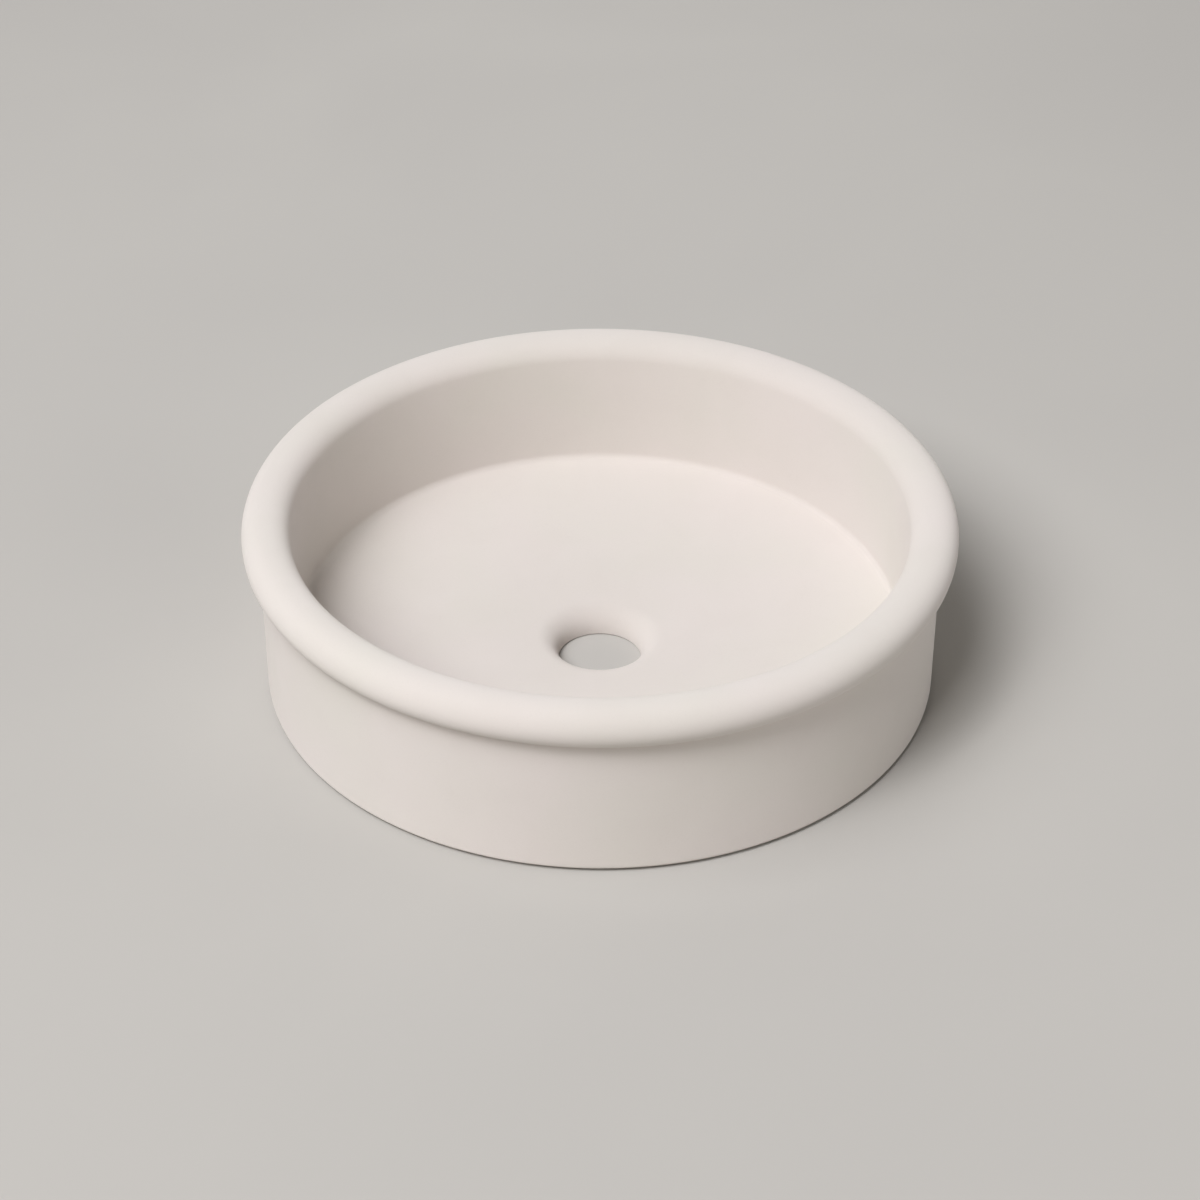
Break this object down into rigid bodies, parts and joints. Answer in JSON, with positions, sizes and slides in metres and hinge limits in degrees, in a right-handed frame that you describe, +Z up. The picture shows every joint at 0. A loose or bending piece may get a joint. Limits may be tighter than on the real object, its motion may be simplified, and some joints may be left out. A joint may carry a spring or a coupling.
{
  "type": "concrete basin",
  "caption": "Round countertop basin of cast concrete with a thick rolled rim, a straight drum side, a floor that falls to the middle and an open waste hole.",
  "frame": {"origin": "centre of the base, on the surface that the pads stand on", "axes": "+Z up along the basin's axis, through the waste hole; the basin is round, so +X and +Y are free"},
  "size_m": [0.4, 0.4, 0.109],
  "materials": {
    "concrete": "smooth matt cast concrete, pale warm off-white",
    "strip_steel": "galvanised strip, cast in",
    "pad_rubber": "matt black"
  },
  "bodies": {
    "root": {"basin_shell": "concrete", "rim_hoop": "strip_steel", "base_hoop": "strip_steel", "waste_hoop": "strip_steel", "rib_1": "strip_steel", "rib_2": "strip_steel", "rib_3": "strip_steel", "rib_4": "strip_steel", "rib_5": "strip_steel", "rib_6": "strip_steel", "rib_7": "strip_steel", "rib_8": "strip_steel", "pad_1": "pad_rubber", "pad_2": "pad_rubber", "pad_3": "pad_rubber", "pad_4": "pad_rubber"}
  },
  "joints": []
}
